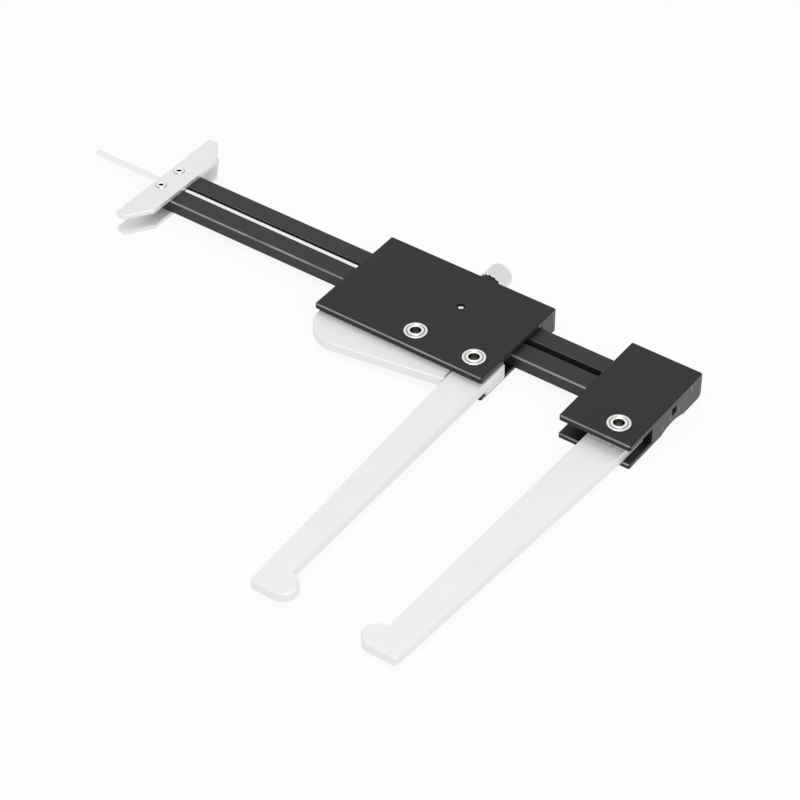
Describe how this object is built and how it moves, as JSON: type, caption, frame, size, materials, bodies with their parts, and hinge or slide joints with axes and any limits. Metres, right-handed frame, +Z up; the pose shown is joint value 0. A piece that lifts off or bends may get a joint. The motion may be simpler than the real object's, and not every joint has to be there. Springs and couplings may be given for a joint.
{
  "type": "brake disc measuring caliper",
  "caption": "Slide caliper with two long lobed arms for brake disc thickness, a release lever, a lock knob and a depth rod with crosshead.",
  "frame": {"origin": "on the axis of the fixed arm's hollow rivet, in the plane the tool rests on", "axes": "+X along the rail away from the crosshead, +Y from the arms' side to the rail's side, +Z up through the plates"},
  "size_m": [0.3307, 0.2315, 0.0143],
  "materials": {
    "black_anodised": "black anodised aluminium, fine satin",
    "silver_anodised": "clear anodised aluminium, bead blasted",
    "nickel_plate": "bright nickel plate on turned steel",
    "ground_steel": "ground rod",
    "spring_steel": "drawn wire",
    "blackened_steel": "oil blackened screws",
    "bronze": "rolled bronze strip",
    "turned_brass": "turned brass"
  },
  "bodies": {
    "rail_unit": {"rail": "black_anodised", "crosshead_upper_plate": "silver_anodised", "crosshead_lower_plate": "silver_anodised", "crosshead_rivets": "nickel_plate", "fixed_block": "black_anodised", "rail_clamp_screws": "blackened_steel", "fixed_arm": "silver_anodised", "fixed_arm_rivet": "nickel_plate"},
    "carriage": {"carriage_housing": "black_anodised", "gib_strip": "bronze", "lever_spacer": "ground_steel", "stop_pin": "ground_steel", "swing_arm_rivet": "nickel_plate", "lever_rivet": "nickel_plate", "depth_rod": "ground_steel", "lock_collar": "black_anodised"},
    "lever": {"release_lever": "silver_anodised", "lever_spring": "spring_steel"},
    "jaw": {"swing_arm": "silver_anodised"},
    "clamp_pad": {"lock_pad": "turned_brass"},
    "clamp_knob": {"lock_screw": "ground_steel", "lock_knob": "nickel_plate"}
  },
  "joints": [
    {"name": "carriage_slide", "type": "slide", "parent": "rail_unit", "child": "carriage", "axis": [1, 0, 0], "range_m": [-0.1045, 0.034]},
    {"name": "lever_pivot", "type": "hinge", "parent": "carriage", "child": "lever", "pos_m": [-0.1085, 0, 0.0075], "axis": [0, 0, 1], "range_deg": [-12, 0], "stiffness_Nm_per_rad": 0.05, "springref_deg": 11.46},
    {"name": "arm_swing", "type": "hinge", "parent": "carriage", "child": "jaw", "pos_m": [-0.0765, 0, 0.0065], "axis": [0, 0, 1], "range_deg": [-10.8, 0]},
    {"name": "lock_feed", "type": "slide", "parent": "carriage", "child": "clamp_pad", "axis": [0, -1, 0], "range_m": [0, 0.00028]},
    {"name": "lock_turn", "type": "hinge", "parent": "clamp_pad", "child": "clamp_knob", "pos_m": [-0.1041, 0.06, 0.0067], "axis": [0, -1, 0], "range_deg": [0, 144]}
  ],
  "couplings": [
    {"joint": "arm_swing", "follows": "lever_pivot", "ratio": 0.9},
    {"joint": "lock_turn", "follows": "lock_feed", "rad_per_m": 8976}
  ]
}
